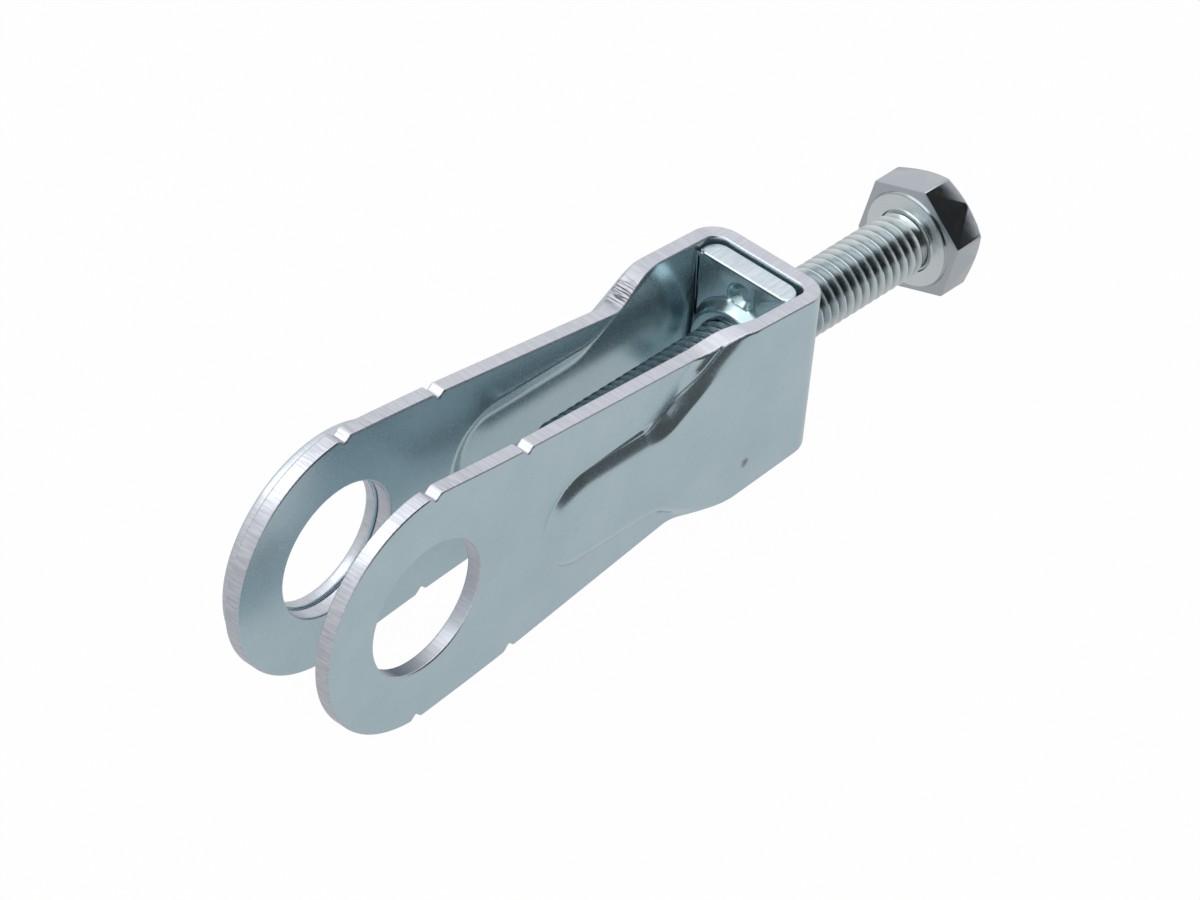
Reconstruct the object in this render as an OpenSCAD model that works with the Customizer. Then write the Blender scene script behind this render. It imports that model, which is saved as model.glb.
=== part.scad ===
// Chain adjuster of a small motorcycle: a folded and pressed steel yoke with two axle eyes,
// a disc welded to one eye, a tapped plate welded inside the base, and a hexagon bolt.
// Origin: on the axle axis, midway between the arms. +X to the bolt head, +Y to the disc, +Z up.

/* [Axle eyes] */
// Diameter of the axle hole in each arm
axle_hole_d = 12.6; // [10.5:0.1:14]
// Outside diameter of the round eyes
eye_d = 23.1; // [21.5:0.1:26]
// Bore of the disc welded to one eye
disc_bore_d = 12.2; // [10.5:0.1:14]
// Outside diameter of that disc
disc_d = 21.5; // [18:0.1:26]
// Thickness of that disc
disc_t = 1.2; // [0.8:0.1:3]

/* [Sheet] */
// Thickness of the sheet steel
sheet_t = 1.5; // [1.2:0.1:1.6]
// Inside radius of the two folds at the base
fold_r = 1.5; // [0.8:0.1:2]

/* [Yoke] */
// From the axle axis to the outside of the base
base_x = 48.4; // [46:0.5:70]
// Height of the sheet at the base
base_h = 15.7; // [14.5:0.1:18]
// Clear width between the arms at the eyes
eye_gap = 8.5; // [8:0.1:10]
// Clear width between the arms where they step out to the base
root_gap = 6.6; // [6.2:0.1:8]
// Clear width inside the base
base_gap = 10.2; // [9.8:0.1:12]
// How far the base and its bolt stand off the middle of the arms, to the disc's side
base_shift = 0.4; // [0:0.1:0.6]
// From the axle axis to where the arms start to close in
straight_x = 9; // [6:0.5:12]

/* [Pressed rib] */
// From the axle axis to the round end of the rib's flat top
rib_tip_x = 15; // [13.5:0.5:18]
// Radius of that end
rib_r = 3.8; // [3.3:0.1:4.2]
// Half width of the rib where it starts to flare
rib_flare_w = 3.9; // [3.5:0.1:4.5]
// From the axle axis to where the rib starts to flare
rib_flare_x = 30; // [27:0.5:31]
// Angle of the flare to the arm
flare_angle = 30; // [28:1:38]
// How far the centre of a rib lies off the axle axis: up on the disc's arm, down on the other
rib_offset = 0.7; // [0:0.1:0.9]
// Slope of the wall round the rib
wall_angle = 48; // [40:1:60]
// Radius of the bend from the rib's flat top into that wall
shoulder_r = 0.6; // [0.3:0.1:1]

/* [Index notches] */
// Distance between the two notches of an edge
notch_pitch = 11.2; // [8:0.1:12]
// Width of a notch
notch_w = 1.5; // [0.8:0.1:2]
// Depth of a notch
notch_depth = 0.8; // [0.4:0.1:1.2]

/* [Tapped plate] */
// Thickness of the plate
plate_t = 2.2; // [1.6:0.1:3]
// Height of the plate
plate_h = 15; // [13.5:0.1:16]
// Side clearance of the plate in the base
plate_side_gap = 0.15; // [0.1:0.05:0.3]
// Height of the two weld spots that hold the plate off the base
weld_gap = 0.2; // [0.15:0.05:0.4]
// Distance of a weld spot from the bolt axis
weld_z = 5.2; // [4.8:0.1:5.8]
// Diameter of the punched dimple behind each weld spot
dimple_d = 2.6; // [1.5:0.1:3]
// Depth of that dimple
dimple_depth = 0.8; // [0.4:0.1:1.2]
// Height of the collar drawn up round the tapped hole
collar_h = 1.2; // [0.8:0.1:2]
// Outside diameter of the collar
collar_d = 7.8; // [7.4:0.1:8.4]

/* [Adjuster bolt] */
// Thread diameter over the crests
bolt_d = 5.9; // [5.7:0.05:6]
// Radial running clearance of the bolt in the tapped hole
thread_clearance = 0.05; // [0.02:0.01:0.1]
// Radial clearance of the bolt in the base
base_hole_clearance = 0.4; // [0.3:0.1:0.6]
// Length of the bolt under its head
bolt_l = 45; // [35:1:50]
// Length of the bolt that shows between the base and the head
bolt_out = 18.3; // [2:0.1:20]
// Width of the head across its flats
head_af = 9.9; // [9:0.1:11]
// Height of the head
head_h = 4; // [3:0.1:5]
// Diameter of the raised face under the head
head_seat_d = 8.9; // [8:0.1:9.2]
// Height of that raised face
head_seat_t = 0.3; // [0.1:0.05:0.5]
// How far the head is turned about the bolt
head_turn = 12; // [0:1:60]

/* [Hidden] */
$fn = 64;

// Overlap of a cut past a face
past = 1;

// Places that follow from the sizes above
eye_y = eye_gap / 2;
root_y = root_gap / 2;
base_y = base_gap / 2;
seat_x = base_x - sheet_t;
plate_front_x = seat_x - weld_gap - plate_t;
head_x = base_x + bolt_out;
tip_x = head_x - bolt_l;
// The straight edges run just inside the tangents to the eye
edge_inset = 0.04;
edge_r = eye_d / 2 - edge_inset;
edge_angle = acos(edge_r / norm([base_x, base_h / 2])) + atan2(base_h / 2, base_x);
edge_slope = 90 - edge_angle;
root_x = rib_flare_x + 4;
arm_angle = atan((eye_gap - root_gap) / 2 / (root_x - straight_x));
rib_cx = rib_tip_x + rib_r;
rib_angle = atan((rib_flare_w - rib_r) / (rib_flare_x - rib_cx));
// The base channel starts where the flare has left both edges of the sheet
flare_rise = rib_offset + base_h / 2 + (base_x - rib_flare_x) * tan(edge_slope) - rib_flare_w;
channel_x = rib_flare_x + (flare_rise + edge_inset) / (tan(flare_angle) + tan(edge_slope)) + edge_inset;
form_end_x = channel_x + past;
tip_chamfer = 0.8;
hex_chamfer_angle = 30;
collar_root_w = 0.6;
weld_spot_d = 1.6;

// Inner face of an arm, beyond its straight stretch
function arm_y(x) = eye_y - (x - straight_x) * tan(arm_angle);

// Normal of a line that rises at an angle, and the corner shift between two such lines
function normal(angle) = [-sin(angle), cos(angle)];
function corner(a, b) = (normal(a) + normal(b)) / (1 + normal(a) * normal(b));

// Outline of the rib, widened by its own amount at the tip, where it flares and at its end
function rib_half(tip, flare, end) = concat(
    [for (a = [180 : -10 : 100]) [rib_cx, 0] + (rib_r + tip) * [cos(a), sin(a)]],
    [[rib_cx, 0] + (rib_r + tip) * normal(rib_angle),
     [rib_flare_x, rib_flare_w] + flare * corner(rib_angle, flare_angle),
     [form_end_x, rib_flare_w + (form_end_x - rib_flare_x) * tan(flare_angle) + end / cos(flare_angle)]]);
function rib_ring(tip, flare, end) =
    let (half = rib_half(tip, flare, end), last = len(half) - 1)
    concat(half, [for (i = [last : -1 : 1]) [half[i][0], -half[i][1]]]);

// How much the wall has widened the rib at a depth below the flat top
function widening(depth) = shoulder_r * sin(wall_angle)
    + (depth - shoulder_r * (1 - cos(wall_angle))) / tan(wall_angle);

// Straight part of an arm and the base seen from the side
module straight_side() {
    polygon([
        edge_r * [cos(edge_angle), sin(edge_angle)],
        [base_x, base_h / 2],
        [base_x, -base_h / 2],
        edge_r * [cos(edge_angle), -sin(edge_angle)]
    ]);
}

// One index notch, cut into the edge from its outside; along is measured along the edge
module edge_notch(along) {
    rotate(-edge_slope)
        translate([along, edge_r])
            polygon([[-1.5 * notch_w, 2 * notch_depth], [1.5 * notch_w, 2 * notch_depth], [0, -notch_depth]]);
}

// Side view of the yoke, a round eye and two straight edges with notches, across the whole width
module side_blank() {
    width = base_gap + 2 * sheet_t + 2 * past;
    rotate([90, 0, 0])
        difference() {
            union() {
                cylinder(h = width, d = eye_d, center = true, $fn = 128);
                linear_extrude(width, center = true) straight_side();
            }
            for (flip = [0, 1], along = [0, notch_pitch])
                mirror([0, flip, 0])
                    linear_extrude(width + past, center = true) edge_notch(along);
        }
}

// Flat sheet of the arm on the +Y side, straight at the eye and then closing in to the base
module arm_sheet() {
    end_x = channel_x - past;
    linear_extrude(eye_d + 2 * past, center = true)
        polygon([
            [-eye_d, eye_y], [straight_x, eye_y], [end_x, arm_y(end_x)],
            [end_x, arm_y(end_x) + sheet_t], [straight_x, eye_y + sheet_t], [-eye_d, eye_y + sheet_t]
        ]);
}

// Form pressed into an arm, from its flat top at top_y down to a distance dig below the arm's face
module pressed_form(top_y, face_shift, dig) {
    function foot(x) = arm_y(x) + sheet_t - dig;
    function foot_widening(x) = widening(top_y - foot(x));
    bends = [for (i = [0 : 3]) i * wall_angle / 3];
    shoulder = [for (b = bends) [shoulder_r * sin(b), top_y - shoulder_r * (1 - cos(b))]];
    rings = concat(
        [for (q = rib_ring(foot_widening(rib_tip_x), foot_widening(rib_flare_x), foot_widening(form_end_x)))
            [q[0], foot(q[0]), q[1]]],
        [for (i = [3 : -1 : 0], q = rib_ring(shoulder[i][0], shoulder[i][0], shoulder[i][0]))
            [q[0], shoulder[i][1], q[1]]]);
    n = len(rib_ring(0, 0, 0));
    top = len(rings) - n;
    translate([0, face_shift, rib_offset])
        polyhedron(rings, concat(
            [[for (i = [0 : n - 1]) i]],
            [for (k = [0 : n : top - 1], i = [0 : n - 1])
                [k + i, k + i + n, k + (i + 1) % n + n]],
            [for (k = [0 : n : top - 1], i = [0 : n - 1])
                [k + i, k + (i + 1) % n + n, k + (i + 1) % n]],
            [[for (i = [n - 1 : -1 : 0]) top + i]]));
}

// One arm, drawn on the +Y side: flat sheet with the form pressed through it up to the base
module arm(top_y) {
    difference() {
        union() {
            arm_sheet();
            pressed_form(top_y, 0, sheet_t / 2);
        }
        pressed_form(top_y, -sheet_t, past);
    }
}

// Section of the base channel seen from above, without or with the sheet's thickness
module channel_section(grow) {
    r = fold_r + grow;
    x1 = seat_x + grow;
    y1 = base_y + grow;
    x0 = channel_x - (grow > 0 ? 0 : past);
    polygon([[x0, -y1], [x1 - r, -y1], [x1 - r, y1], [x0, y1]]);
    translate([x1 - r, 0]) square([2 * r, 2 * (y1 - r)], center = true);
    for (s = [-1, 1]) translate([x1 - r, s * (y1 - r)]) circle(r);
}

module base_channel() {
    translate([0, base_shift, 0])
        linear_extrude(base_h * 2, center = true)
            difference() {
                channel_section(sheet_t);
                channel_section(0);
            }
}

// Yoke: one strip of sheet, blanked, pressed and folded
module yoke() {
    color("#b4bec4")
        difference() {
            intersection() {
                side_blank();
                union() {
                    base_channel();
                    arm(base_y + sheet_t + base_shift);
                    rotate([180, 0, 0]) arm(base_y + sheet_t - base_shift);
                }
            }
            rotate([90, 0, 0]) cylinder(h = 4 * base_gap, d = axle_hole_d, center = true);
            translate([seat_x - past, base_shift, 0])
                rotate([0, 90, 0]) cylinder(h = sheet_t + 2 * past, r = bolt_d / 2 + base_hole_clearance);
        }
}

// Disc welded to the outside of the +Y eye
module eye_disc() {
    color("#a9b4ba")
        translate([0, eye_y + sheet_t, 0])
            rotate([-90, 0, 0])
                difference() {
                    cylinder(h = disc_t, d = disc_d, $fn = 96);
                    translate([0, 0, -past]) cylinder(h = disc_t + 2 * past, d = disc_bore_d);
                }
}

// What rounds off an upright back corner of the plate, so that it clears the fold of the sheet
module back_corner(side, r) {
    difference() {
        cube([2 * r, 2 * r, plate_h + past], center = true);
        translate([-r, -side * r, 0]) cylinder(h = plate_h + 2 * past, r = r, center = true);
    }
}

// Plate standing in the base: two punched weld spots and a collar round the tapped hole
module tapped_plate() {
    half_w = base_y - plate_side_gap;
    corner_r = fold_r;
    color("#8fa6ad")
        translate([0, base_shift, 0]) difference() {
            union() {
                translate([plate_front_x + plate_t / 2, 0, 0])
                    difference() {
                        cube([plate_t, 2 * half_w, plate_h], center = true);
                        for (s = [-1, 1]) translate([plate_t / 2, s * half_w, 0]) back_corner(s, corner_r);
                    }
                translate([plate_front_x - collar_h, 0, 0])
                    rotate([0, 90, 0])
                        cylinder(h = collar_h, d1 = collar_d, d2 = collar_d + 2 * collar_root_w);
                for (s = [-1, 1]) translate([plate_front_x + plate_t, 0, s * weld_z])
                    rotate([0, 90, 0]) cylinder(h = weld_gap, d = weld_spot_d);
            }
            translate([plate_front_x - collar_h - past, 0, 0])
                rotate([0, 90, 0])
                    cylinder(h = collar_h + plate_t + 2 * past, r = bolt_d / 2 + thread_clearance);
            for (s = [-1, 1]) translate([plate_front_x, 0, s * weld_z])
                rotate([0, 90, 0]) cylinder(h = dimple_depth, d1 = dimple_d, d2 = dimple_d / 2);
        }
}

// Hexagon bolt, its thread left plain over the crests
module adjuster_bolt() {
    across_corners = head_af / cos(30);
    chamfer_d = 0.95 * head_af;
    hex_h = head_h - head_seat_t;
    color("#c3cacd") translate([0, base_shift, 0]) {
        translate([tip_x, 0, 0])
            rotate([0, 90, 0]) {
                cylinder(h = tip_chamfer, d1 = bolt_d - 2 * tip_chamfer, d2 = bolt_d);
                translate([0, 0, tip_chamfer]) cylinder(h = bolt_l - tip_chamfer + head_seat_t, d = bolt_d);
            }
        translate([head_x, 0, 0]) rotate([0, 90, 0]) cylinder(h = head_seat_t, d = head_seat_d);
        translate([head_x + head_seat_t, 0, 0])
            rotate([head_turn, 0, 0])
                rotate([0, 90, 0])
                    intersection() {
                        cylinder(h = hex_h, d = across_corners, $fn = 6);
                        cone_h = (across_corners - chamfer_d) / 2 * tan(hex_chamfer_angle);
                        union() {
                            cylinder(h = hex_h - cone_h, d = across_corners + past);
                            translate([0, 0, hex_h - cone_h])
                                cylinder(h = cone_h, d1 = across_corners, d2 = chamfer_d);
                        }
                    }
    }
}

yoke();
eye_disc();
tapped_plate();
adjuster_bolt();
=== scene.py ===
"""Dresses the chain adjuster: softened sheet edges, a cut thread, plated steel finishes, light and camera."""

import logging
import math
from dataclasses import dataclass, field
from enum import Enum

import bmesh
import bpy
from mathutils import Matrix, Vector


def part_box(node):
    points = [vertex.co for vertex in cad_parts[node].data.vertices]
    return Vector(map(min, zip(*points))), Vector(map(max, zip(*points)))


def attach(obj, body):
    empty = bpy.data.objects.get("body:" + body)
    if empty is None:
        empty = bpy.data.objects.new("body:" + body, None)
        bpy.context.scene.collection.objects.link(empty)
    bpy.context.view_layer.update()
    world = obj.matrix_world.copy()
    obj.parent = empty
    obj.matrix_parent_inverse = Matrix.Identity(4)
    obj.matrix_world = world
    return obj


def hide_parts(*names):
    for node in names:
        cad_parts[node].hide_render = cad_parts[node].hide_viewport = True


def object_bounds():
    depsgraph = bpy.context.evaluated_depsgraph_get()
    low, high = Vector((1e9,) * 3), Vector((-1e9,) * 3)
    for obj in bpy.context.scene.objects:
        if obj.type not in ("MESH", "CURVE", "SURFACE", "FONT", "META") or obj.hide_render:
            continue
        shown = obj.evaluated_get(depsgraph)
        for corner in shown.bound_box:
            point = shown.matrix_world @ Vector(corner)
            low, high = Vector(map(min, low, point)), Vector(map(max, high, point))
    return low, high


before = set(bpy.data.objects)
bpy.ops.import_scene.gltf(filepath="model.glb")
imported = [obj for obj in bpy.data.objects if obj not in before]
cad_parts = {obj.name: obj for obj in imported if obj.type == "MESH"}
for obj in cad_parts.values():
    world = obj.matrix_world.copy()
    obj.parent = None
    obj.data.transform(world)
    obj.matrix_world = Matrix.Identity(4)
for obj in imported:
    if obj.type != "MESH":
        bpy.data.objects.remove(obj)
CAD_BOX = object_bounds()

LOG = logging.getLogger("chain_adjuster")
MM = 0.001


class Side(Enum):
    """Which way the sheet's thickness runs at a cut edge."""

    ARM = (4.0, 0.35, 4.0)
    BASE = (0.35, 4.0, 4.0)


def linear(colour: str) -> tuple[float, float, float, float]:
    """Turns an sRGB hex colour into the linear values that a shader takes.

    Args:
        colour: Hex colour, such as "#a0afb7".

    Returns:
        Linear red, green and blue, and an alpha of 1.
    """
    parts = [int(colour[i : i + 2], 16) / 255 for i in (1, 3, 5)]
    low = [c / 12.92 if c <= 0.04045 else ((c + 0.055) / 1.055) ** 2.4 for c in parts]
    return (low[0], low[1], low[2], 1.0)


def add_node(tree: bpy.types.NodeTree, kind: str, values: dict, links: dict, **settings: object) -> bpy.types.Node:
    """Adds one node with its settings, socket values and incoming links.

    Args:
        tree: Node tree that gets the node.
        kind: Blender's name for the node's type.
        values: Socket name or number to its constant value.
        links: Socket name or number to the output socket that feeds it.
        **settings: Properties of the node itself.

    Returns:
        The new node.
    """
    node = tree.nodes.new(kind)
    for name, value in settings.items():
        setattr(node, name, value)
    for socket, value in values.items():
        node.inputs[socket].default_value = value
    for socket, source in links.items():
        tree.links.new(source, node.inputs[socket])
    return node


def new_tree(name: str) -> tuple[bpy.types.Material, bpy.types.NodeTree]:
    """Makes an empty node material.

    Args:
        name: Name of the material.

    Returns:
        The material and its cleared node tree.
    """
    material = bpy.data.materials.new(name)
    material.use_nodes = True
    material.node_tree.nodes.clear()
    return material, material.node_tree


def millimetres(tree: bpy.types.NodeTree, stretch: tuple[float, float, float] = (1.0, 1.0, 1.0)) -> bpy.types.Node:
    """Adds the object's own coordinates in millimetres.

    Args:
        tree: Node tree of the material.
        stretch: How much finer the pattern runs along each axis.

    Returns:
        The mapping node, whose output is the scaled position.
    """
    place = add_node(tree, "ShaderNodeTexCoord", {}, {})
    scale = tuple(s / MM for s in stretch)
    return add_node(tree, "ShaderNodeMapping", {"Scale": scale}, {"Vector": place.outputs["Object"]})


@dataclass(frozen=True)
class Spot:
    """A small mark on the surface: where it is, in millimetres, and how large."""

    place_mm: tuple[float, float, float]
    radius_mm: float

    def mask(self, tree: bpy.types.NodeTree) -> bpy.types.NodeSocket:
        """Adds the soft round mask of the mark.

        Args:
            tree: Node tree of the material.

        Returns:
            Output socket that is 1 in the mark and 0 away from it.
        """
        place = millimetres(tree)
        wander = add_node(
            tree, "ShaderNodeTexNoise", {"Scale": 1.3 / self.radius_mm, "Detail": 3.0}, {"Vector": place.outputs[0]}
        )
        far = add_node(
            tree,
            "ShaderNodeVectorMath",
            {1: self.place_mm},
            {0: place.outputs[0]},
            operation="DISTANCE",
        )
        rough = add_node(
            tree,
            "ShaderNodeMath",
            {1: self.radius_mm},
            {0: wander.outputs[0], 2: far.outputs["Value"]},
            operation="MULTIPLY_ADD",
        )
        fade = add_node(
            tree,
            "ShaderNodeMapRange",
            {"From Min": 0.7 * self.radius_mm, "From Max": 1.6 * self.radius_mm, "To Min": 1.0, "To Max": 0.0},
            {"Value": rough.outputs[0]},
        )
        return fade.outputs[0]


@dataclass(frozen=True)
class BlueZincSheet:
    """Cold-rolled sheet with bright zinc plate and a blue passivate.

    The plate is pale blue-grey and half bright, so it shows soft reflections, clouded by the passivate and
    pricked with the fine specks of the bath.
    """

    name: str = "zinc_plated_sheet_steel"
    colour: str = "#c4d7df"
    cloud: str = "#b0c5ce"
    speck: str = "#7d8b92"
    stain: str = "#6d5a44"
    roughness: tuple[float, float] = (0.18, 0.28)
    cloud_mm: float = 6.0
    grain_mm: float = 0.22
    speck_mm: float = 0.55
    wave_mm: float = 4.0
    grain_depth_mm: float = 0.0012
    wave_depth_mm: float = 0.012
    streak: tuple[float, float, float] = (1.0, 1.0, 1.0)
    stains: tuple[Spot, ...] = ()

    def build(self) -> bpy.types.Material:
        """Builds the material, with its clouds, specks, grain and stains."""
        material, tree = new_tree(self.name)
        place = millimetres(tree)
        streaked = millimetres(tree, self.streak)
        clouds = add_node(
            tree,
            "ShaderNodeTexNoise",
            {"Scale": 1 / self.cloud_mm, "Detail": 4.0, "Roughness": 0.6},
            {"Vector": place.outputs[0]},
        )
        clouded = add_node(
            tree,
            "ShaderNodeMix",
            {6: linear(self.colour), 7: linear(self.cloud)},
            {0: clouds.outputs[0]},
            data_type="RGBA",
        )
        specks = add_node(
            tree,
            "ShaderNodeTexNoise",
            {"Scale": 1 / self.speck_mm, "Detail": 2.0},
            {"Vector": place.outputs[0]},
        )
        specked = add_node(
            tree,
            "ShaderNodeMapRange",
            {"From Min": 0.72, "From Max": 0.82, "To Min": 0.0, "To Max": 0.4},
            {"Value": specks.outputs[0]},
        )
        colour = add_node(
            tree,
            "ShaderNodeMix",
            {7: linear(self.speck)},
            {0: specked.outputs[0], 6: clouded.outputs[2]},
            data_type="RGBA",
        ).outputs[2]
        for spot in self.stains:
            colour = add_node(
                tree,
                "ShaderNodeMix",
                {7: linear(self.stain)},
                {0: spot.mask(tree), 6: colour},
                data_type="RGBA",
            ).outputs[2]
        grain = add_node(
            tree,
            "ShaderNodeTexNoise",
            {"Scale": 1 / self.grain_mm, "Detail": 3.0, "Roughness": 0.7},
            {"Vector": streaked.outputs[0]},
        )
        waves = add_node(
            tree,
            "ShaderNodeTexNoise",
            {"Scale": 1 / self.wave_mm, "Detail": 1.0},
            {"Vector": streaked.outputs[0]},
        )
        rough = add_node(
            tree,
            "ShaderNodeMapRange",
            {"From Min": 0.3, "From Max": 0.7, "To Min": self.roughness[0], "To Max": self.roughness[1]},
            {"Value": grain.outputs[0]},
        )
        wavy = add_node(
            tree,
            "ShaderNodeBump",
            {"Strength": 1.0, "Distance": self.wave_depth_mm * MM},
            {"Height": waves.outputs[0]},
        )
        bumped = add_node(
            tree,
            "ShaderNodeBump",
            {"Strength": 1.0, "Distance": self.grain_depth_mm * MM},
            {"Height": grain.outputs[0], "Normal": wavy.outputs[0]},
        )
        shader = add_node(
            tree,
            "ShaderNodeBsdfPrincipled",
            {"Metallic": 0.86},
            {"Base Color": colour, "Roughness": rough.outputs[0], "Normal": bumped.outputs[0]},
        )
        add_node(tree, "ShaderNodeOutputMaterial", {}, {"Surface": shader.outputs[0]})
        return material


@dataclass(frozen=True)
class ShearedEdge:
    """Edge left by the blanking punch, then zinc plated.

    It is paler than the sheet's face, with fine lines across the thickness where the punch tore the steel.
    """

    name: str
    side: Side
    colour: str = "#cdd0d8"
    line: str = "#8f939d"
    torn: str = "#2a2c30"
    roughness: float = 0.38
    line_mm: float = 0.9
    line_depth_mm: float = 0.006
    line_share: float = 0.25
    tears: tuple[Spot, ...] = ()

    def build(self) -> bpy.types.Material:
        """Builds the material, with its lines and tears."""
        material, tree = new_tree(self.name)
        along = millimetres(tree, self.side.value)
        lines = add_node(
            tree,
            "ShaderNodeTexNoise",
            {"Scale": 1 / self.line_mm, "Detail": 3.0, "Roughness": 0.65},
            {"Vector": along.outputs[0]},
        )
        shade = add_node(
            tree,
            "ShaderNodeMapRange",
            {"From Min": 0.62, "From Max": 0.40, "To Min": 0.0, "To Max": self.line_share},
            {"Value": lines.outputs[0]},
        )
        colour = add_node(
            tree,
            "ShaderNodeMix",
            {6: linear(self.colour), 7: linear(self.line)},
            {0: shade.outputs[0]},
            data_type="RGBA",
        ).outputs[2]
        for spot in self.tears:
            deep = add_node(
                tree,
                "ShaderNodeMapRange",
                {"From Min": 0.56, "From Max": 0.48, "To Min": 0.0, "To Max": 1.0},
                {"Value": lines.outputs[0]},
            )
            both = add_node(
                tree, "ShaderNodeMath", {}, {0: deep.outputs[0], 1: spot.mask(tree)}, operation="MULTIPLY"
            )
            colour = add_node(
                tree,
                "ShaderNodeMix",
                {7: linear(self.torn)},
                {0: both.outputs[0], 6: colour},
                data_type="RGBA",
            ).outputs[2]
        bump = add_node(
            tree,
            "ShaderNodeBump",
            {"Strength": 1.0, "Distance": self.line_depth_mm * MM},
            {"Height": lines.outputs[0]},
        )
        shader = add_node(
            tree,
            "ShaderNodeBsdfPrincipled",
            {"Metallic": 1.0, "Roughness": self.roughness},
            {"Base Color": colour, "Normal": bump.outputs[0]},
        )
        add_node(tree, "ShaderNodeOutputMaterial", {}, {"Surface": shader.outputs[0]})
        return material


@dataclass(frozen=True)
class RolledBolt:
    """Cold-headed and thread-rolled bolt with bright zinc plate.

    The crests are burnished and painted lighter as a painted highlight, and the roots of the thread are painted darker
    as painted shade.
    """

    name: str = "zinc_plated_rolled_bolt"
    crest_highlight_colour: str = "#d3dadc"
    root_shade_colour: str = "#8d9a9e"
    roughness: tuple[float, float] = (0.18, 0.30)
    root_r_mm: float = 2.36
    crest_r_mm: float = 2.9
    axis_y_mm: float = 0.4
    mark_mm: float = 0.8
    mark_depth_mm: float = 0.006

    def build(self) -> bpy.types.Material:
        """Builds the material, with painted shade at the thread's roots and a painted highlight on its crests, and
        scuffed on the head.
        """
        material, tree = new_tree(self.name)
        place = millimetres(tree)
        flat = add_node(
            tree,
            "ShaderNodeVectorMath",
            {1: (0.0, 1.0, 1.0)},
            {0: place.outputs[0]},
            operation="MULTIPLY",
        )
        radius = add_node(
            tree,
            "ShaderNodeVectorMath",
            {1: (0.0, self.axis_y_mm, 0.0)},
            {0: flat.outputs[0]},
            operation="DISTANCE",
        )
        # Painted shade and highlight: the colour runs from the darker root colour in the thread's grooves to the
        # lighter crest colour on its crests.
        height = add_node(
            tree,
            "ShaderNodeMapRange",
            {"From Min": self.root_r_mm, "From Max": self.crest_r_mm},
            {"Value": radius.outputs["Value"]},
        )
        colour = add_node(
            tree,
            "ShaderNodeMix",
            {6: linear(self.root_shade_colour), 7: linear(self.crest_highlight_colour)},
            {0: height.outputs[0]},
            data_type="RGBA",
        )
        marks = add_node(
            tree,
            "ShaderNodeTexNoise",
            {"Scale": 1 / self.mark_mm, "Detail": 5.0, "Roughness": 0.6},
            {"Vector": place.outputs[0]},
        )
        rough = add_node(
            tree,
            "ShaderNodeMapRange",
            {"From Min": 0.3, "From Max": 0.7, "To Min": self.roughness[0], "To Max": self.roughness[1]},
            {"Value": marks.outputs[0]},
        )
        bump = add_node(
            tree,
            "ShaderNodeBump",
            {"Strength": 1.0, "Distance": self.mark_depth_mm * MM},
            {"Height": marks.outputs[0]},
        )
        shader = add_node(
            tree,
            "ShaderNodeBsdfPrincipled",
            {"Metallic": 1.0},
            {"Base Color": colour.outputs[2], "Roughness": rough.outputs[0], "Normal": bump.outputs[0]},
        )
        add_node(tree, "ShaderNodeOutputMaterial", {}, {"Surface": shader.outputs[0]})
        return material


def merged_copy(node: str) -> bmesh.types.BMesh:
    """Copies a node of the frame with its loose triangles joined into flat faces.

    Args:
        node: Name of the frame's node.

    Returns:
        A new bmesh in metres, in the frame's place.
    """
    bm = bmesh.new()
    bm.from_mesh(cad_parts[node].data)
    bmesh.ops.remove_doubles(bm, verts=bm.verts, dist=0.002 * MM)
    bmesh.ops.dissolve_degenerate(bm, edges=bm.edges, dist=0.002 * MM)
    bmesh.ops.dissolve_limit(bm, angle_limit=math.radians(0.4), verts=bm.verts, edges=bm.edges)
    bmesh.ops.triangulate(bm, faces=bm.faces, quad_method="BEAUTY", ngon_method="BEAUTY")
    return bm


def soften(bm: bmesh.types.BMesh, width_mm: float, segments: int, from_deg: float) -> None:
    """Rounds the edges that stand at more than an angle.

    Args:
        bm: Mesh to change.
        width_mm: Width of the rounding on each face.
        segments: Number of faces across the rounding.
        from_deg: Smallest angle between two faces whose edge is rounded.
    """
    limit = math.radians(from_deg)
    sharp = [e for e in bm.edges if e.is_manifold and e.calc_face_angle(0.0) > limit]
    bmesh.ops.bevel(
        bm,
        geom=sharp,
        offset=width_mm * MM,
        offset_type="OFFSET",
        segments=segments,
        profile=0.5,
        affect="EDGES",
        clamp_overlap=False,
        material=-1,
    )


def finished(bm: bmesh.types.BMesh, name: str, smooth_deg: float = 32.0) -> bpy.types.Object:
    """Turns a bmesh into a shaded object at the origin.

    Args:
        bm: Mesh, which is freed.
        name: Name of the object.
        smooth_deg: Edges sharper than this stay sharp in the shading.

    Returns:
        The new object.
    """
    for face in bm.faces:
        face.smooth = True
    for edge in bm.edges:
        edge.smooth = edge.is_manifold and edge.calc_face_angle(0.0) < math.radians(smooth_deg)
    mesh = bpy.data.meshes.new(name)
    bm.to_mesh(mesh)
    bm.free()
    piece = bpy.data.objects.new(name, mesh)
    bpy.context.scene.collection.objects.link(piece)
    normals = piece.modifiers.new("weighted_normals", "WEIGHTED_NORMAL")
    normals.keep_sharp = True
    normals.weight = 100
    LOG.info("%s: %d faces", name, len(mesh.polygons))
    return piece


def soft_max(a: float, b: float, blend: float) -> float:
    """Takes the larger of two heights, with the corner between them rounded.

    Args:
        a: First height.
        b: Second height.
        blend: How far apart the heights are where the rounding starts.

    Returns:
        The rounded larger height.
    """
    return max(a, b) + max(blend - abs(a - b), 0.0) ** 2 / (4 * blend)


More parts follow.
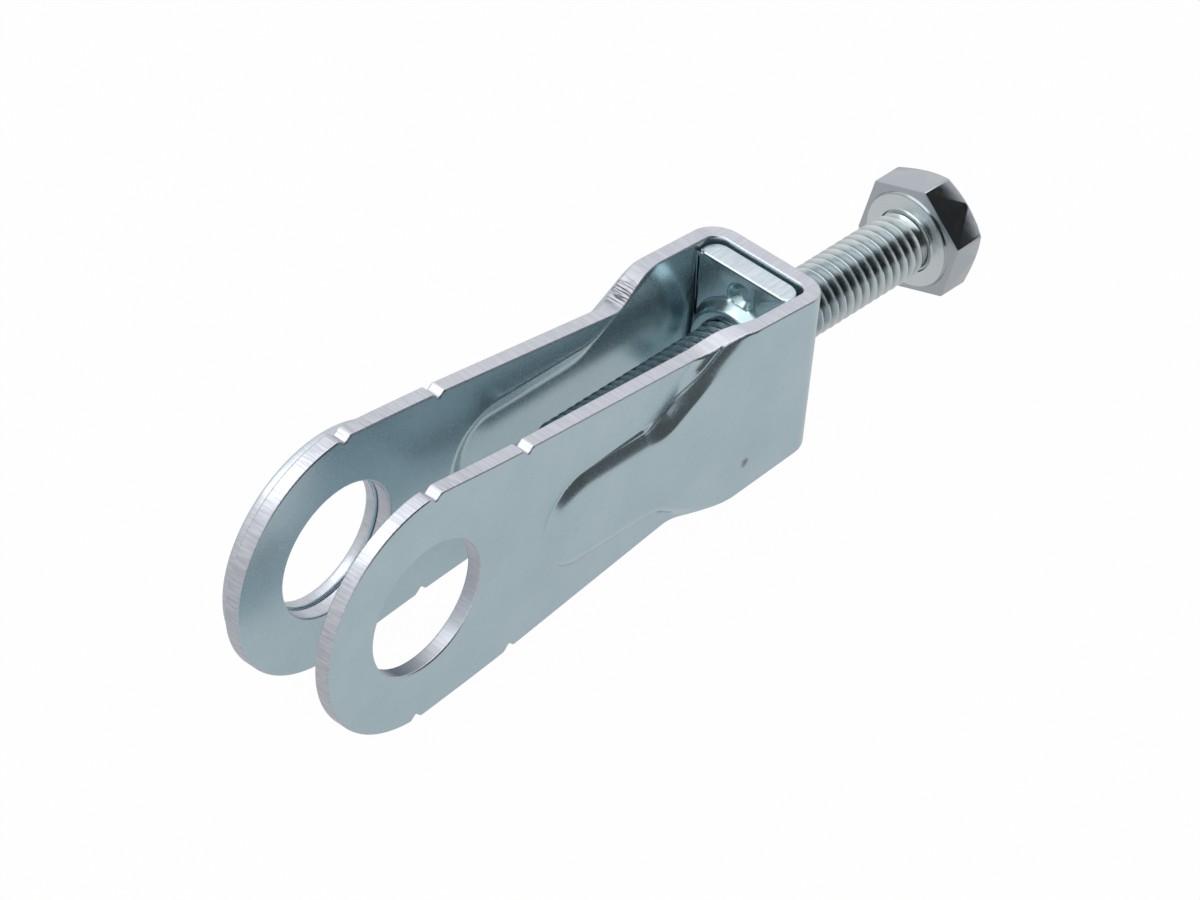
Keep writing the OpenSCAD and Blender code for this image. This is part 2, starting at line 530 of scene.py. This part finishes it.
@dataclass(frozen=True)
class PressedArm:
    """One arm of the yoke: flat at the eye, with a rib that flares out to the level of the base.

    All lengths are in millimetres. The rib's own values differ between the two arms, as on the real part.
    """

    level: float
    centre_z: float
    flare_x: float
    rib_wall_deg: float
    flare_wall_deg: float
    flat: float = 5.75
    straight_x: float = 9.0
    closing: float = 0.032
    tip_x: float = 15.0
    half_w: float = 3.85
    flare_deg: float = 30.0
    edge_wall_deg: float = 42.0
    foot_bend: float = 0.15
    edge_bend: float = 0.7
    shoulder_bend: float = 0.9
    crease: float = 0.0
    crease_at: float = 0.85
    crease_w: float = 0.1

    def inside(self, x: float, z: float) -> float:
        """Tells how far a point lies inside the rib's flat top.

        Args:
            x: Distance from the axle.
            z: Height on the arm.

        Returns:
            Distance to the outline of the top, negative outside it.
        """
        off = abs(z - self.centre_z)
        flare = math.radians(self.flare_deg)
        rib = self.half_w - math.hypot(min(x - self.tip_x - self.half_w, 0.0), off)
        wedge = math.cos(flare) * (self.half_w - off) + math.sin(flare) * (x - self.flare_x)
        return soft_max(rib, wedge, 0.7)

    def height(self, x: float, z: float, depth: float) -> float:
        """Gives the distance of the pressed sheet from the middle plane of the yoke.

        Args:
            x: Distance from the axle.
            z: Height on the arm.
            depth: How deep the point lies in the sheet, from its outer face.

        Returns:
            Distance from the middle plane.
        """
        part = min(max((x - self.flare_x + 2.0) / 3.0, 0.0), 1.0)
        steep = self.rib_wall_deg + (self.flare_wall_deg - self.rib_wall_deg) * part
        far = min(max((abs(z - self.centre_z) - 5.4) / 2.6, 0.0), 1.0)
        far = far * far * (3 - 2 * far)
        wall = math.radians(steep + (min(steep, self.edge_wall_deg) - steep) * far)
        foot = self.foot_bend + (self.edge_bend - self.foot_bend) * far
        plain = self.flat - soft_max(x - self.straight_x, 0.0, 4.0) * self.closing - depth
        slope = self.level + self.inside(x, z) * math.tan(wall) - depth / math.cos(wall)
        raised = -soft_max(depth - self.level, -slope, self.shoulder_bend)
        off = (self.inside(x, z) + self.crease_at) / self.crease_w
        if self.crease and z > self.centre_z and abs(off) < 4 and depth < 0.5:
            long = min(max((x - 17.0) / 12.0, 0.2), 1.0)
            return soft_max(plain, raised, foot) - self.crease * long * math.exp(-off * off) * (1 - 2 * depth)
        return soft_max(plain, raised, foot)


@dataclass
class Yoke:
    """One strip of sheet: blanked flat, pressed with a rib in each arm and folded into a U."""

    sheet: float = 1.5
    fold_r: float = 1.2
    back_x: float = 48.4
    half_width: float = 6.65
    shift: float = 0.3
    eye_r: float = 11.65
    bore_r: float = 6.3
    bolt_r: float = 3.35
    neck: tuple[float, float] = (33.0, 8.02)
    shoulder: tuple[float, float] = (37.8, 8.64)
    taper_deg: float = 4.2
    notch_x: tuple[float, float] = (-0.1, 11.05)
    notch_w: float = 1.2
    notch_depth: float = 0.5
    edge: float = 0.2
    cell: float = 0.2
    formed: tuple[float, float, float] = (13.0, 40.0, 9.0)
    near: PressedArm = PressedArm(6.35, -0.8, 28.0, 43.0, 60.0, crease=0.1)
    far: PressedArm = PressedArm(6.95, 0.5, 29.8, 40.0, 42.0, foot_bend=0.7)
    stain: Spot = Spot((38.9, -6.2, -5.4), 0.5)
    tear: Spot = Spot((34.4, 5.0, 8.6), 2.2)

    @property
    def fold_x(self) -> float:
        """Distance from the axle to where the folds start."""
        return self.back_x - self.fold_r - self.sheet

    @property
    def back_half(self) -> float:
        """Half of the flat back between the folds."""
        return self.half_width - self.fold_r - self.sheet

    @property
    def fold_length(self) -> float:
        """Length of sheet in one fold, along its middle."""
        return (self.fold_r + self.sheet / 2) * math.pi / 2

    @property
    def reach(self) -> float:
        """Length of sheet from the middle of the back to the axle."""
        return self.back_half + self.fold_length + self.fold_x

    def edge_height(self, x: float) -> float:
        """Gives the height of the strip's edge beyond the neck.

        Args:
            x: Distance from the axle.

        Returns:
            Half the height of the strip there.
        """
        if x >= self.shoulder[0]:
            return self.shoulder[1] - (x - self.shoulder[0]) * math.tan(math.radians(self.taper_deg))
        part = (x - self.neck[0]) / (self.shoulder[0] - self.neck[0])
        return self.neck[1] + (self.shoulder[1] - self.neck[1]) * part * part * (3 - 2 * part)

    def arm_outline(self) -> list[tuple[float, float]]:
        """Draws the upper edge of one arm, from the end of its eye to the fold.

        Returns:
            Points as distance from the axle and height.
        """
        far = math.hypot(*self.neck)
        tangent = math.acos(self.eye_r / far) + math.atan2(self.neck[1], self.neck[0])
        start = Vector((math.cos(tangent), math.sin(tangent))) * self.eye_r
        line = (Vector(self.neck) - start).normalized()

        def edge_at(x: float) -> Vector:
            """Gives the point of the upper edge at a distance from the axle."""
            if x < start.x:
                return Vector((x, math.sqrt(max(self.eye_r**2 - x * x, 0.0))))
            return start + line * ((x - start.x) / line.x)

        turns = [math.pi - (math.pi - tangent) * i / 40 for i in range(41)]
        plain = [self.eye_r * math.cos(a) for a in turns] + [start.x + 1.5 * i for i in range(1, 30)]
        plain = [x for x in plain if x < self.neck[0] - 0.4]
        points = [tuple(edge_at(x)) for x in plain if all(abs(x - n) > self.notch_w / 2 for n in self.notch_x)]
        for x in self.notch_x:
            for side, depth in ((-0.5, 0.0), (-0.28, 0.5), (-0.08, 1.0), (0.08, 1.0), (0.28, 0.5), (0.5, 0.0)):
                place = edge_at(x + side * self.notch_w)
                points.append((place.x, place.y - depth * self.notch_depth))
        points.sort()
        steps = [self.neck[0] + (self.shoulder[0] - self.neck[0]) * i / 12 for i in range(13)]
        steps += [self.shoulder[0] + (self.fold_x - self.shoulder[0]) * i / 4 for i in range(1, 5)]
        return points + [(x, self.edge_height(x)) for x in steps]

    def blank(self) -> bmesh.types.BMesh:
        """Blanks the upper half of the flat strip, with its bores, notches and rounded rims.

        Returns:
            Half of the flat strip: length along x, depth along y and height along z, in millimetres.
        """
        arm = self.arm_outline()
        top = [(x - self.reach, z) for x, z in arm]
        for i in range(1, 8):
            turn = math.pi / 2 * (1 - i / 8)
            x = self.fold_x + (self.fold_r + self.sheet) * math.cos(turn)
            top.append((-self.back_half - turn / (math.pi / 2) * self.fold_length, self.edge_height(x)))
        top.append((-self.back_half, self.edge_height(self.back_x)))
        line = top + [(-s, z) for s, z in reversed(top)]
        for centre, r in ((self.reach, self.bore_r), (0.0, self.bolt_r), (-self.reach, self.bore_r)):
            line += [(centre + r * math.cos(a), r * math.sin(a)) for a in [math.pi * i / 48 for i in range(49)]]
        bm = bmesh.new()
        face = bm.faces.new([bm.verts.new((s, 0.0, z)) for s, z in line])
        raised = bmesh.ops.extrude_face_region(bm, geom=[face])["geom"]
        bmesh.ops.translate(bm, verts=[v for v in raised if isinstance(v, bmesh.types.BMVert)], vec=(0, self.sheet, 0))
        bmesh.ops.recalc_face_normals(bm, faces=bm.faces)
        seam = [f for f in bm.faces if all(abs(v.co.z) < 1e-4 for v in f.verts)]
        bmesh.ops.delete(bm, geom=seam, context="FACES")
        rims = [e for e in bm.edges if e.is_manifold and e.calc_face_angle(0.0) > 0.8]
        rims = [e for e in rims if abs(e.verts[0].co.y - e.verts[1].co.y) < 1e-5]
        bmesh.ops.bevel(
            bm,
            geom=rims,
            offset=self.edge,
            offset_type="OFFSET",
            segments=3,
            profile=0.5,
            affect="EDGES",
            clamp_overlap=False,
            material=-1,
        )
        return bm

    def cut_cells(self, bm: bmesh.types.BMesh) -> None:
        """Cuts the flat strip into small cells where it is pressed or folded.

        Args:
            bm: Half of the flat strip.
        """
        x0, x1, z1 = self.formed
        for i in range(1, round(z1 / self.cell) + 1):
            faces = [f for f in bm.faces if any(x0 < self.reach - abs(v.co.x) < x1 for v in f.verts)]
            self.cut(bm, faces, (0.0, 0.0, i * self.cell), (0.0, 0.0, 1.0))
        count = round((x1 - x0) / self.cell)
        places = [self.reach - x0 - (x1 - x0) * i / count for i in range(count + 1)]
        places += [self.back_half + self.fold_length * i / 14 for i in range(15)]
        places += [self.reach - 4.5 - 0.5 * i for i in range(17)]
        for place in places:
            for side in (-1, 1):
                self.cut(bm, list(bm.faces), (side * place, 0.0, 0.0), (1.0, 0.0, 0.0))

        arm, turn = self.near, math.radians(self.near.flare_deg)
        for i in range(-5, 6):
            off = arm.half_w + arm.crease_at + 0.05 * i
            faces = [f for f in bm.faces if 16 < self.reach + f.calc_center_median().x < 29]
            self.cut(bm, faces, (0.0, 0.0, arm.centre_z + off), (0.0, 0.0, 1.0))
            start = (arm.flare_x - self.reach, 0.0, arm.centre_z + arm.half_w + (off - arm.half_w) / math.cos(turn))
            faces = [f for f in bm.faces if 27 < self.reach + f.calc_center_median().x < 39]
            self.cut(bm, faces, start, (-math.sin(turn), 0.0, math.cos(turn)))

    @staticmethod
    def cut(bm: bmesh.types.BMesh, faces: list, place: tuple, normal: tuple) -> None:
        """Cuts faces along one plane.

        Args:
            bm: Mesh to cut.
            faces: Faces that may be cut.
            place: Point on the plane.
            normal: Normal of the plane.
        """
        point, across = Vector(place), Vector(normal)
        near = []
        for face in faces:
            sides = [across.dot(v.co - point) for v in face.verts]
            if min(sides) < 0 < max(sides):
                near.append(face)
        parts = set(near)
        for face in near:
            parts.update(face.edges)
            parts.update(face.verts)
        bmesh.ops.bisect_plane(bm, geom=list(parts), dist=1e-4, plane_co=place, plane_no=normal)

    def formed_place(self, flat: Vector) -> Vector:
        """Moves a point of the flat strip to its place in the pressed and folded yoke.

        Args:
            flat: Length, depth and height in the flat strip.

        Returns:
            The place in the frame, in millimetres.
        """
        along, side, depth = abs(flat.x), math.copysign(1.0, flat.x), flat.y
        if along <= self.back_half:
            return Vector((self.back_x - depth, self.shift + flat.x, flat.z))
        if along <= self.back_half + self.fold_length:
            turn = (along - self.back_half) / self.fold_length * math.pi / 2
            r = self.fold_r + self.sheet - depth
            x = self.fold_x + r * math.cos(turn)
            return Vector((x, self.shift + side * (self.back_half + r * math.sin(turn)), flat.z))
        x = self.reach - along
        arm = self.far if side > 0 else self.near
        return Vector((x, side * arm.height(x, flat.z, depth), flat.z))

    def flat_normal(self, vert: bmesh.types.BMVert) -> Vector:
        """Gives the normal of the flat strip, with its faces kept plain beside the rounded rims.

        Args:
            vert: Corner of the flat strip.

        Returns:
            Its normal.
        """
        depth = vert.co.y
        if depth < 1e-4 or depth > self.sheet - 1e-4:
            return Vector((0.0, 1.0 if depth > self.sheet / 2 else -1.0, 0.0))
        if self.edge - 1e-4 < depth < self.sheet - self.edge + 1e-4:
            return Vector((vert.normal.x, 0.0, vert.normal.z)).normalized()
        return vert.normal.copy()

    def press(self, bm: bmesh.types.BMesh) -> list[Vector]:
        """Presses and folds the strip.

        Args:
            bm: The whole flat strip, which is moved into the frame.

        Returns:
            The normal at each corner, from the formed surface itself.
        """
        step = 0.02
        normals, places = [], []
        for vert in bm.verts:
            flat, normal = vert.co.copy(), self.flat_normal(vert)
            along, deep, up = (
                self.formed_place(flat + d) - self.formed_place(flat - d)
                for d in (Vector((step, 0, 0)), Vector((0, step, 0)), Vector((0, 0, step)))
            )
            turned = normal.x * deep.cross(up) + normal.y * up.cross(along) + normal.z * along.cross(deep)
            side = along.dot(deep.cross(up))
            normals.append((turned if side > 0 else -turned).normalized())
            places.append(self.formed_place(flat) * MM)
        for vert, place in zip(bm.verts, places):
            vert.co = place
        return normals

    def finish_slot(self, face: bmesh.types.BMFace) -> int:
        """Tells which finish a face of the flat strip takes.

        Args:
            face: Face of the flat strip.

        Returns:
            0 for the sheet's own face, 1 for a cut edge of an arm, 2 for one of the back and 3 for one of an eye.
        """
        centre = face.calc_center_median()
        along = abs(centre.x)
        if abs(face.normal.y) > 0.93:
            return 0
        if along > self.reach - self.eye_r / 2 and math.hypot(along - self.reach, centre.z) > self.bore_r + 1:
            return 3
        return 1 if along > self.back_half + self.fold_length / 2 else 2

    def build(self) -> bpy.types.Object:
        """Blanks, presses and folds the strip, and gives it its finishes.

        Returns:
            The yoke, riding on its body.
        """
        bm = self.blank()
        self.cut_cells(bm)
        geometry = list(bm.verts) + list(bm.edges) + list(bm.faces)
        bmesh.ops.mirror(bm, geom=geometry, matrix=Matrix.Identity(4), merge_dist=1e-3, axis="Z")
        bmesh.ops.recalc_face_normals(bm, faces=bm.faces)
        bm.normal_update()
        for face in bm.faces:
            face.material_index = self.finish_slot(face)
            face.smooth = True
        normals = self.press(bm)
        bmesh.ops.recalc_face_normals(bm, faces=bm.faces)
        mesh = bpy.data.meshes.new("yoke_pressing")
        bm.to_mesh(mesh)
        bm.free()
        mesh.normals_split_custom_set_from_vertices(normals)
        piece = bpy.data.objects.new("yoke_pressing", mesh)
        bpy.context.scene.collection.objects.link(piece)
        LOG.info("yoke_pressing: %d faces", len(mesh.polygons))
        finishes = (
            BlueZincSheet(stains=(self.stain,)),
            ShearedEdge("sheared_edge_of_arm", Side.ARM, tears=(self.tear,)),
            ShearedEdge("sheared_edge_of_base", Side.BASE),
            ShearedEdge("sheared_edge_of_eye", Side.ARM, line_depth_mm=0.016, line_share=0.4),
        )
        for finish in finishes:
            piece.data.materials.append(finish.build())
        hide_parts("yoke")
        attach(piece, "yoke")
        return piece


@dataclass
class EyeDisc:
    """Flat ring welded to one eye."""

    edge_mm: float = 0.25

    def build(self) -> bpy.types.Object:
        """Builds the ring with rounded rims.

        Returns:
            The ring, riding on the yoke's body.
        """
        bm = merged_copy("eye_disc")
        soften(bm, self.edge_mm, 3, 40.0)
        for face in bm.faces:
            face.material_index = 1 if abs(face.normal.y) < 0.25 else 0
        piece = finished(bm, "eye_ring")
        piece.data.materials.append(BlueZincSheet("zinc_plated_ring").build())
        piece.data.materials.append(ShearedEdge("sheared_edge_of_ring", Side.ARM).build())
        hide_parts("eye_disc")
        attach(piece, "yoke")
        return piece


@dataclass
class TappedPlate:
    """Plate with a drawn collar and punched dimples, welded inside the base."""

    edge_mm: float = 0.2
    corner_mm: float = 0.8
    half_w_mm: float = 4.9
    front_x_mm: float = 44.5

    def round_corners(self, bm: bmesh.types.BMesh) -> None:
        """Rounds the two upright corners at the plate's front.

        Args:
            bm: Mesh of the plate.
        """
        upright = []
        for edge in bm.edges:
            a, b = (v.co / MM for v in edge.verts)
            front = abs(a.x - self.front_x_mm) < 0.05 and abs(b.x - self.front_x_mm) < 0.05
            if front and abs(a.z - b.z) > 10 and abs(a.y - b.y) < 0.01 and abs(a.y) > self.half_w_mm - 0.6:
                upright.append(edge)
        bmesh.ops.bevel(
            bm,
            geom=upright,
            offset=self.corner_mm * MM,
            offset_type="OFFSET",
            segments=6,
            profile=0.5,
            affect="EDGES",
            clamp_overlap=True,
            material=-1,
        )

    def build(self) -> bpy.types.Object:
        """Builds the plate with rounded edges.

        Returns:
            The plate, riding on the yoke's body.
        """
        bm = merged_copy("tapped_plate")
        self.round_corners(bm)
        soften(bm, self.edge_mm, 3, 40.0)
        for face in bm.faces:
            face.material_index = 1 if abs(face.normal.z) > 0.85 and abs(face.calc_center_median().z) > 7 * MM else 0
        piece = finished(bm, "tapped_plate_pressing")
        sheet = BlueZincSheet("zinc_plated_plate", colour="#bfd4d9", cloud="#abc4cb", streak=(1.0, 3.0, 0.4))
        piece.data.materials.append(sheet.build())
        piece.data.materials.append(ShearedEdge("sheared_edge_of_plate", Side.BASE, colour="#d5dfe6").build())
        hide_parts("tapped_plate")
        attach(piece, "yoke")
        return piece


@dataclass
class AdjusterBolt:
    """Hexagon bolt with its thread cut along the whole shank."""

    pitch_mm: float = 1.0
    crest_r_mm: float = 2.95
    depth_mm: float = 0.6
    crest_mm: float = 0.13
    root_mm: float = 0.18
    turn_steps: int = 40
    head_h_mm: float = 4.0
    chamfer_mm: float = 0.8
    runout_mm: float = 1.6
    runout_r_mm: float = 2.68
    axis_y_mm: float = 0.4
    edge_mm: float = 0.15
    overlap_mm: float = 0.3
    low: Vector = field(default_factory=lambda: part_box("adjuster_bolt")[0] / MM)
    high: Vector = field(default_factory=lambda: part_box("adjuster_bolt")[1] / MM)

    @property
    def head_x_mm(self) -> float:
        """Place of the head's underside along the bolt."""
        return self.high.x - self.head_h_mm

    def thread(self) -> bmesh.types.BMesh:
        """Cuts the thread as one profile swept along a screw line.

        Returns:
            The shank, from its chamfered tip to just inside the head.
        """
        bm = bmesh.new()
        flank = (self.pitch_mm - self.crest_mm - self.root_mm) / 2
        root_r = self.crest_r_mm - self.depth_mm
        line = [
            (0.0, root_r),
            (self.root_mm, root_r),
            (self.root_mm + flank, self.crest_r_mm),
            (self.root_mm + flank + self.crest_mm, self.crest_r_mm),
            (self.pitch_mm, root_r),
        ]
        start = self.low.x - 2 * self.pitch_mm
        verts = [bm.verts.new(Vector((start + x, 0.0, r)) * MM) for x, r in line]
        edges = [bm.edges.new(pair) for pair in zip(verts, verts[1:])]
        turns = math.ceil((self.head_x_mm - start) / self.pitch_mm) + 2
        steps = turns * self.turn_steps
        bmesh.ops.spin(
            bm,
            geom=verts + edges,
            cent=(0.0, 0.0, 0.0),
            axis=(1.0, 0.0, 0.0),
            dvec=(self.pitch_mm * MM / self.turn_steps, 0.0, 0.0),
            angle=math.tau * turns,
            steps=steps,
        )
        bmesh.ops.remove_doubles(bm, verts=bm.verts, dist=0.004 * MM)
        ends = ((self.low.x, (-1, 0, 0)), (self.head_x_mm + self.overlap_mm, (1, 0, 0)))
        for x, outward in ends:
            bmesh.ops.bisect_plane(
                bm,
                geom=list(bm.verts) + list(bm.edges) + list(bm.faces),
                plane_co=(x * MM, 0.0, 0.0),
                plane_no=outward,
                clear_outer=True,
            )
        self.shape_ends(bm)
        bmesh.ops.holes_fill(bm, edges=[e for e in bm.edges if e.is_boundary], sides=0)
        bmesh.ops.recalc_face_normals(bm, faces=bm.faces)
        return bm

    def shape_ends(self, bm: bmesh.types.BMesh) -> None:
        """Chamfers the tip and fades the thread out below the head.

        Args:
            bm: Mesh of the shank.
        """
        for vert in bm.verts:
            x = vert.co.x / MM
            radius = math.hypot(vert.co.y, vert.co.z) / MM
            target = min(radius, self.crest_r_mm - self.chamfer_mm + (x - self.low.x))
            fade = min(max((x - self.head_x_mm + self.runout_mm) / self.runout_mm, 0.0), 1.0)
            target += (self.runout_r_mm - target) * fade
            vert.co.y *= target / radius
            vert.co.z *= target / radius

    def head(self) -> bmesh.types.BMesh:
        """Takes the head from its node and rounds its edges.

        Returns:
            The head, closed below.
        """
        bm = merged_copy("adjuster_bolt")
        bmesh.ops.bisect_plane(
            bm,
            geom=list(bm.verts) + list(bm.edges) + list(bm.faces),
            plane_co=((self.head_x_mm - 0.02) * MM, 0.0, 0.0),
            plane_no=(-1.0, 0.0, 0.0),
            clear_outer=True,
        )
        bmesh.ops.holes_fill(bm, edges=[e for e in bm.edges if e.is_boundary], sides=0)
        soften(bm, self.edge_mm, 2, 20.0)
        return bm

    def build(self) -> bpy.types.Object:
        """Builds the bolt.

        Returns:
            The bolt, riding on its own body.
        """
        shank = self.thread()
        bmesh.ops.translate(shank, verts=shank.verts, vec=(0.0, self.axis_y_mm * MM, 0.0))
        whole = self.head()
        part = bpy.data.meshes.new("shank")
        shank.to_mesh(part)
        shank.free()
        whole.from_mesh(part)
        bpy.data.meshes.remove(part)
        for face in whole.faces:
            face.material_index = 1 if face.calc_center_median().x > self.head_x_mm * MM else 0
        piece = finished(whole, "threaded_bolt", 40.0)
        piece.data.materials.append(RolledBolt(axis_y_mm=self.axis_y_mm).build())
        forged = RolledBolt("zinc_plated_bolt_head", "#aeb5bb", "#aeb5bb", (0.12, 0.2), axis_y_mm=self.axis_y_mm)
        piece.data.materials.append(forged.build())
        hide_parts("adjuster_bolt")
        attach(piece, "bolt")
        return piece


@dataclass(frozen=True)
class Studio:
    """Pale floor, soft light and a white room with one darker side that the metal shows."""

    floor_half_m: float = 3.0
    floor_colour: str = "#f4f4f4"
    mirrored_floor: float = 0.72
    room_level: float = 0.95
    ceiling: float = 1.8
    dark_towards: tuple[float, float, float] = (0.25, -0.80, 0.55)
    dark_level: float = 0.03
    dark_from: float = 0.70
    dark_to: float = 0.80
    fill_level: float = 0.6
    key_power_w: float = 1.2
    key_size_m: float = 0.5
    key_place_m: tuple[float, float, float] = (-0.35, 0.45, 0.75)

    def floor(self, z: float) -> bpy.types.Object:
        """Lays the floor.

        Args:
            z: Height of the floor.

        Returns:
            The floor.
        """
        bm = bmesh.new()
        bmesh.ops.create_grid(bm, x_segments=1, y_segments=1, size=self.floor_half_m)
        bmesh.ops.translate(bm, verts=bm.verts, vec=(0.0, 0.0, z))
        mesh = bpy.data.meshes.new("floor")
        bm.to_mesh(mesh)
        bm.free()
        floor = bpy.data.objects.new("floor", mesh)
        bpy.context.scene.collection.objects.link(floor)
        material, tree = new_tree("pale_floor")
        rays = add_node(tree, "ShaderNodeLightPath", {}, {})
        diffuse = add_node(tree, "ShaderNodeBsdfDiffuse", {"Color": linear(self.floor_colour)}, {})
        level = add_node(
            tree,
            "ShaderNodeMapRange",
            {"To Min": self.mirrored_floor, "To Max": 1.0},
            {"Value": rays.outputs["Is Camera Ray"]},
        )
        white = add_node(
            tree, "ShaderNodeEmission", {"Color": (1.0, 1.0, 1.0, 1.0)}, {"Strength": level.outputs[0]}
        )
        plain = add_node(tree, "ShaderNodeMath", {1: 0.98}, {0: rays.outputs["Is Camera Ray"]}, operation="MULTIPLY")
        share = add_node(
            tree,
            "ShaderNodeMath",
            {1: 0.88},
            {0: rays.outputs["Is Glossy Ray"], 2: plain.outputs[0]},
            operation="MULTIPLY_ADD",
        )
        mixed = add_node(
            tree, "ShaderNodeMixShader", {}, {0: share.outputs[0], 1: diffuse.outputs[0], 2: white.outputs[0]}
        )
        add_node(tree, "ShaderNodeOutputMaterial", {}, {"Surface": mixed.outputs[0]})
        mesh.materials.append(material)
        return floor

    def room(self) -> None:
        """Sets the world: white to the camera, with a darker side in the reflections."""
        world = bpy.data.worlds.new("studio_room")
        bpy.context.scene.world = world
        world.use_nodes = True
        tree = world.node_tree
        tree.nodes.clear()
        rays = add_node(tree, "ShaderNodeLightPath", {}, {})
        place = add_node(tree, "ShaderNodeTexCoord", {}, {})
        facing = add_node(
            tree,
            "ShaderNodeVectorMath",
            {1: Vector(self.dark_towards).normalized()},
            {0: place.outputs["Generated"]},
            operation="DOT_PRODUCT",
        )
        dark = add_node(
            tree,
            "ShaderNodeMapRange",
            {
                "From Min": self.dark_from,
                "From Max": self.dark_to,
                "To Min": self.room_level,
                "To Max": self.dark_level,
            },
            {"Value": facing.outputs["Value"]},
            interpolation_type="SMOOTHSTEP",
        )
        apart = add_node(tree, "ShaderNodeSeparateXYZ", {}, {"Vector": place.outputs["Generated"]})
        above = add_node(
            tree,
            "ShaderNodeMapRange",
            {"From Min": 0.72, "From Max": 0.84, "To Min": 1.0, "To Max": self.ceiling},
            {"Value": apart.outputs["Z"]},
        )
        both = add_node(
            tree, "ShaderNodeMath", {}, {0: dark.outputs[0], 1: above.outputs[0]}, operation="MULTIPLY"
        )
        seen = add_node(tree, "ShaderNodeBackground", {"Color": (1.0, 1.0, 1.0, 1.0)}, {"Strength": both.outputs[0]})
        fill = add_node(
            tree, "ShaderNodeBackground", {"Color": (1.0, 1.0, 1.0, 1.0), "Strength": self.fill_level}, {}
        )
        white = add_node(tree, "ShaderNodeBackground", {"Color": (1.0, 1.0, 1.0, 1.0), "Strength": 1.0}, {})
        mirrored = add_node(
            tree, "ShaderNodeMixShader", {}, {0: rays.outputs["Is Glossy Ray"], 1: fill.outputs[0], 2: seen.outputs[0]}
        )
        shown = add_node(
            tree, "ShaderNodeMixShader", {}, {0: rays.outputs["Is Camera Ray"], 1: mirrored.outputs[0], 2: white.outputs[0]}
        )
        add_node(tree, "ShaderNodeOutputWorld", {}, {"Surface": shown.outputs[0]})

    def key(self) -> bpy.types.Object:
        """Hangs the soft box.

        Returns:
            The lamp.
        """
        data = bpy.data.lights.new("soft_box", "AREA")
        data.energy = self.key_power_w
        data.size = self.key_size_m
        lamp = bpy.data.objects.new("soft_box", data)
        bpy.context.scene.collection.objects.link(lamp)
        lamp.location = self.key_place_m
        lamp.rotation_euler = (-Vector(self.key_place_m)).to_track_quat("-Z", "Y").to_euler()
        return lamp


@dataclass(frozen=True)
class PhotoCamera:
    """Camera of the photo, fitted to the object's own sizes."""

    place_mm: tuple[float, float, float] = (-434.85, -363.69, 461.01)
    aim_mm: tuple[float, float, float] = (25.45, -1.54, 0.25)
    roll_deg: float = 6.17
    lens_mm: float = 271.3
    sensor_mm: float = 36.0

    def build(self) -> bpy.types.Object:
        """Sets up the camera.

        Returns:
            The camera.
        """
        data = bpy.data.cameras.new("photo_camera")
        data.sensor_fit = "HORIZONTAL"
        data.sensor_width = self.sensor_mm
        data.lens = self.lens_mm
        camera = bpy.data.objects.new("photo_camera", data)
        bpy.context.scene.collection.objects.link(camera)
        place = Vector(self.place_mm) * MM
        towards = Vector(self.aim_mm) * MM - place
        turn = towards.to_track_quat("-Z", "Y").to_matrix().to_4x4()
        camera.matrix_world = Matrix.Translation(place) @ turn @ Matrix.Rotation(math.radians(self.roll_deg), 4, "Z")
        bpy.context.scene.camera = camera
        return camera


def main() -> None:
    """Builds the pieces, the studio and the camera in order."""
    logging.basicConfig(level=logging.INFO, format="%(message)s")
    bpy.context.scene.view_settings.view_transform = "Standard"
    for assembly in (Yoke(), EyeDisc(), TappedPlate(), AdjusterBolt()):
        piece = assembly.build()
        LOG.info("built %s", piece.name)
    studio = Studio()
    studio.floor(CAD_BOX[0][2])
    studio.room()
    studio.key()
    PhotoCamera().build()


if __name__ == "__main__":
    main()
